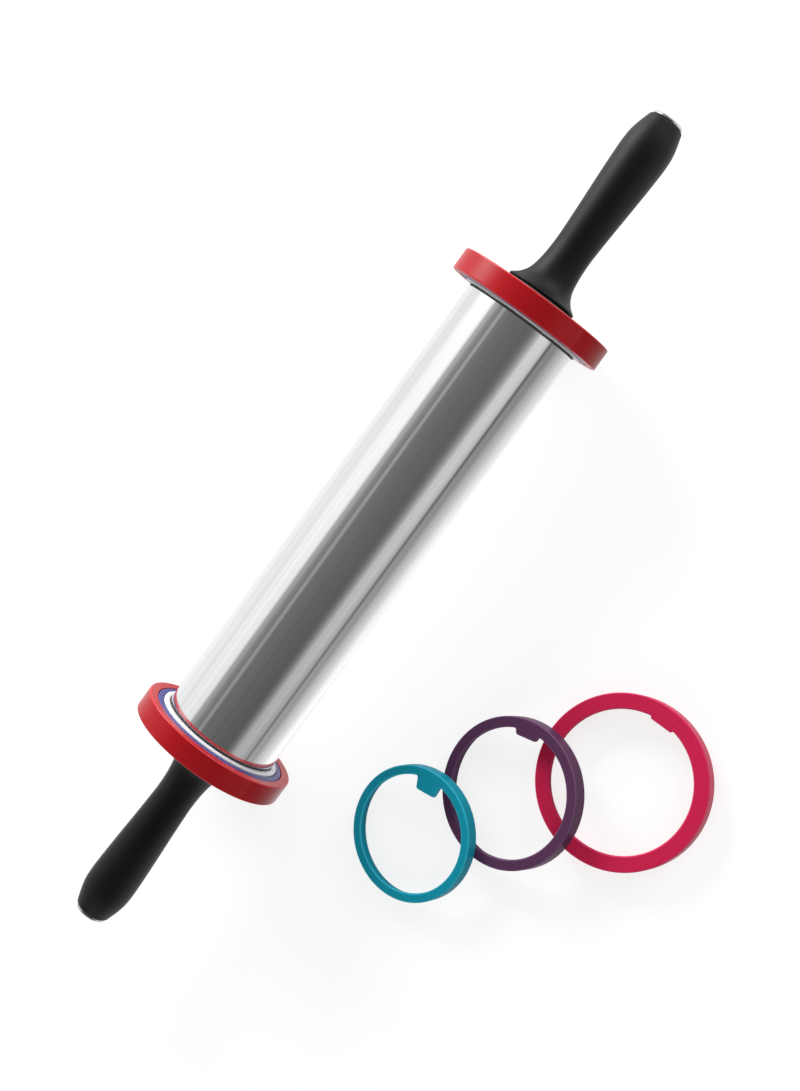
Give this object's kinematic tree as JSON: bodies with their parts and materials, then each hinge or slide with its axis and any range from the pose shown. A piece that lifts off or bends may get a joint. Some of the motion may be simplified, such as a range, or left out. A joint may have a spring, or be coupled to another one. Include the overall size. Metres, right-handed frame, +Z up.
{
  "type": "adjustable rolling pin",
  "caption": "Steel rolling pin turning between two black grips, with stepped thickness rings that slide off each end and spare rings lying beside it.",
  "frame": {"origin": "middle of the bounding box of pin and spare rings, on the surface they lie on", "axes": "+X along the pin's axle towards the end that is upper in the picture, +Y from the spare rings towards the pin, +Z up"},
  "size_m": [0.478, 0.2466, 0.0826],
  "materials": {
    "barrel_steel": "mirror-polished stainless steel",
    "cap_steel": "polished steel",
    "axle_steel": "plain turned steel",
    "black_plastic": "satin black moulding",
    "grip_black": "matte soft-touch",
    "seal_rubber": "black rubber",
    "bush_nylon": "natural nylon",
    "ring_white": "satin moulding",
    "ring_violet": "satin moulding",
    "ring_red": "satin moulding",
    "ring_teal": "satin moulding",
    "ring_plum": "satin moulding",
    "ring_crimson": "satin moulding"
  },
  "bodies": {
    "handles": {"axle": "axle_steel", "thrust_washer_left": "axle_steel", "handle_collar_left": "black_plastic", "handle_core_left": "black_plastic", "handle_bolt_left": "axle_steel", "handle_grip_left": "grip_black", "handle_cap_left": "cap_steel", "thrust_washer_right": "axle_steel", "handle_collar_right": "black_plastic", "handle_core_right": "black_plastic", "handle_bolt_right": "axle_steel", "handle_grip_right": "grip_black", "handle_cap_right": "cap_steel"},
    "barrel": {"barrel": "barrel_steel", "seal_ring_left": "seal_rubber", "end_plug_left": "black_plastic", "bush_left": "bush_nylon", "seal_ring_right": "seal_rubber", "end_plug_right": "black_plastic", "bush_right": "bush_nylon"},
    "inner_ring_left": {"inner_ring_left": "ring_white"},
    "middle_ring_left": {"middle_ring_left": "ring_violet"},
    "outer_ring_left": {"outer_ring_left": "ring_red"},
    "inner_ring_right": {"inner_ring_right": "ring_white"},
    "middle_ring_right": {"middle_ring_right": "ring_violet"},
    "outer_ring_right": {"outer_ring_right": "ring_red"},
    "spare_outer_ring": {"spare_outer_ring": "ring_crimson"},
    "spare_middle_ring": {"spare_middle_ring": "ring_plum"},
    "spare_inner_ring": {"spare_inner_ring": "ring_teal"}
  },
  "joints": [
    {"name": "barrel_spin", "type": "hinge", "parent": "handles", "child": "barrel", "pos_m": [0, 0.08203, 0.04131], "axis": [1, 0, 0], "continuous": true},
    {"name": "inner_ring_left_slide_off", "type": "slide", "parent": "barrel", "child": "inner_ring_left", "axis": [-1, 0, 0], "range_m": [0, 0.12]},
    {"name": "middle_ring_left_slide_off", "type": "slide", "parent": "inner_ring_left", "child": "middle_ring_left", "axis": [-1, 0, 0], "range_m": [0, 0.12]},
    {"name": "outer_ring_left_slide_off", "type": "slide", "parent": "middle_ring_left", "child": "outer_ring_left", "axis": [-1, 0, 0], "range_m": [0, 0.12]},
    {"name": "inner_ring_right_slide_off", "type": "slide", "parent": "barrel", "child": "inner_ring_right", "axis": [1, 0, 0], "range_m": [0, 0.12]},
    {"name": "middle_ring_right_slide_off", "type": "slide", "parent": "inner_ring_right", "child": "middle_ring_right", "axis": [1, 0, 0], "range_m": [0, 0.12]},
    {"name": "outer_ring_right_slide_off", "type": "slide", "parent": "middle_ring_right", "child": "outer_ring_right", "axis": [1, 0, 0], "range_m": [0, 0.12]},
    {"name": "spare_outer_ring_lift", "type": "slide", "parent": "handles", "child": "spare_outer_ring", "axis": [0, 0, 1], "range_m": [0, 0.1]},
    {"name": "spare_middle_ring_lift", "type": "slide", "parent": "spare_outer_ring", "child": "spare_middle_ring", "axis": [0, 0, 1], "range_m": [0, 0.1]},
    {"name": "spare_inner_ring_lift", "type": "slide", "parent": "spare_middle_ring", "child": "spare_inner_ring", "axis": [0, 0, 1], "range_m": [0, 0.1]}
  ]
}
